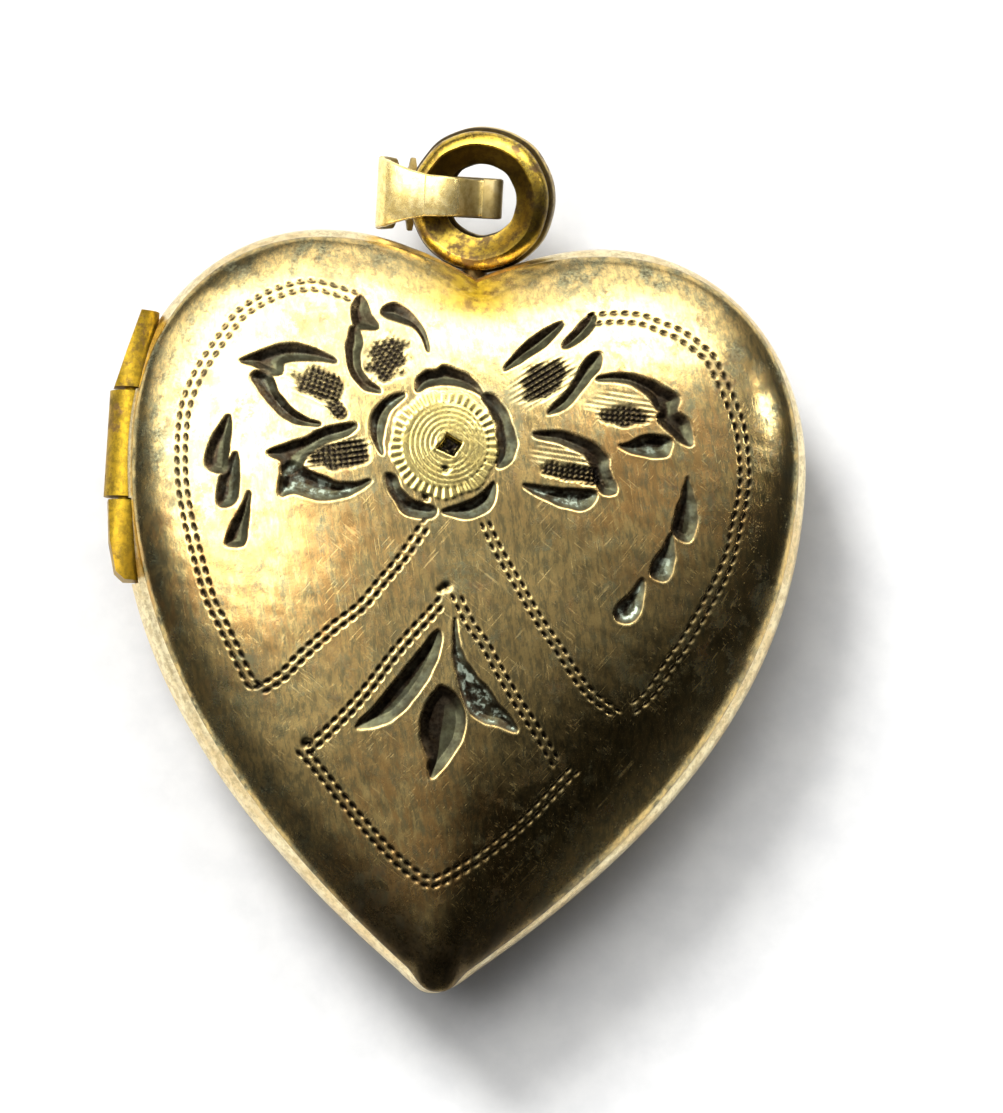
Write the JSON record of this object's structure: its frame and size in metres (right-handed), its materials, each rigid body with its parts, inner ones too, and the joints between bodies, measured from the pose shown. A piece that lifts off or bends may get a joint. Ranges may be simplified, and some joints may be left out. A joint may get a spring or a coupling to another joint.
{
  "type": "heart locket",
  "caption": "Puffed heart locket with an engraved front cover, a side hinge, framed pictures inside, and a ring with a folded strip bail.",
  "frame": {"origin": "middle of the closed locket's box, on the plane that its rear cover lies on", "axes": "+Z out of the engraved front cover, +Y towards the hanging ring, -X at the hinge"},
  "size_m": [0.023, 0.0284, 0.0064],
  "materials": {
    "gold_filled": "polished, worn",
    "rim_gold": "satin",
    "hinge_brass": "matte",
    "celluloid": "clear, gloss",
    "picture_card": "matte"
  },
  "bodies": {
    "back_half": {"rear_cover": "gold_filled", "rear_rim": "rim_gold", "rear_bezel": "gold_filled", "rear_photo_card": "picture_card", "rear_window": "celluloid", "rear_photo_frame": "gold_filled", "hinge_knuckle_upper": "hinge_brass", "hinge_knuckle_lower": "hinge_brass", "hinge_pin": "hinge_brass", "hanging_ring": "gold_filled", "ring_seat": "hinge_brass"},
    "front_half": {"front_cover": "gold_filled", "front_rim": "rim_gold", "front_bezel": "gold_filled", "front_photo_card": "picture_card", "front_window": "celluloid", "front_photo_frame": "gold_filled", "hinge_knuckle_middle": "hinge_brass"},
    "bail_loop": {"bail": "rim_gold"}
  },
  "joints": [
    {"name": "cover_hinge", "type": "hinge", "parent": "back_half", "child": "front_half", "pos_m": [-0.01074, 0.0029, 0.0032], "axis": [0, -1, 0], "range_deg": [0, 180]},
    {"name": "bail_swing", "type": "hinge", "parent": "back_half", "child": "bail_loop", "pos_m": [0.00021, 0.01185, 0.0032], "axis": [0.2258, 0.1581, -0.9613], "range_deg": [0, 180]}
  ]
}
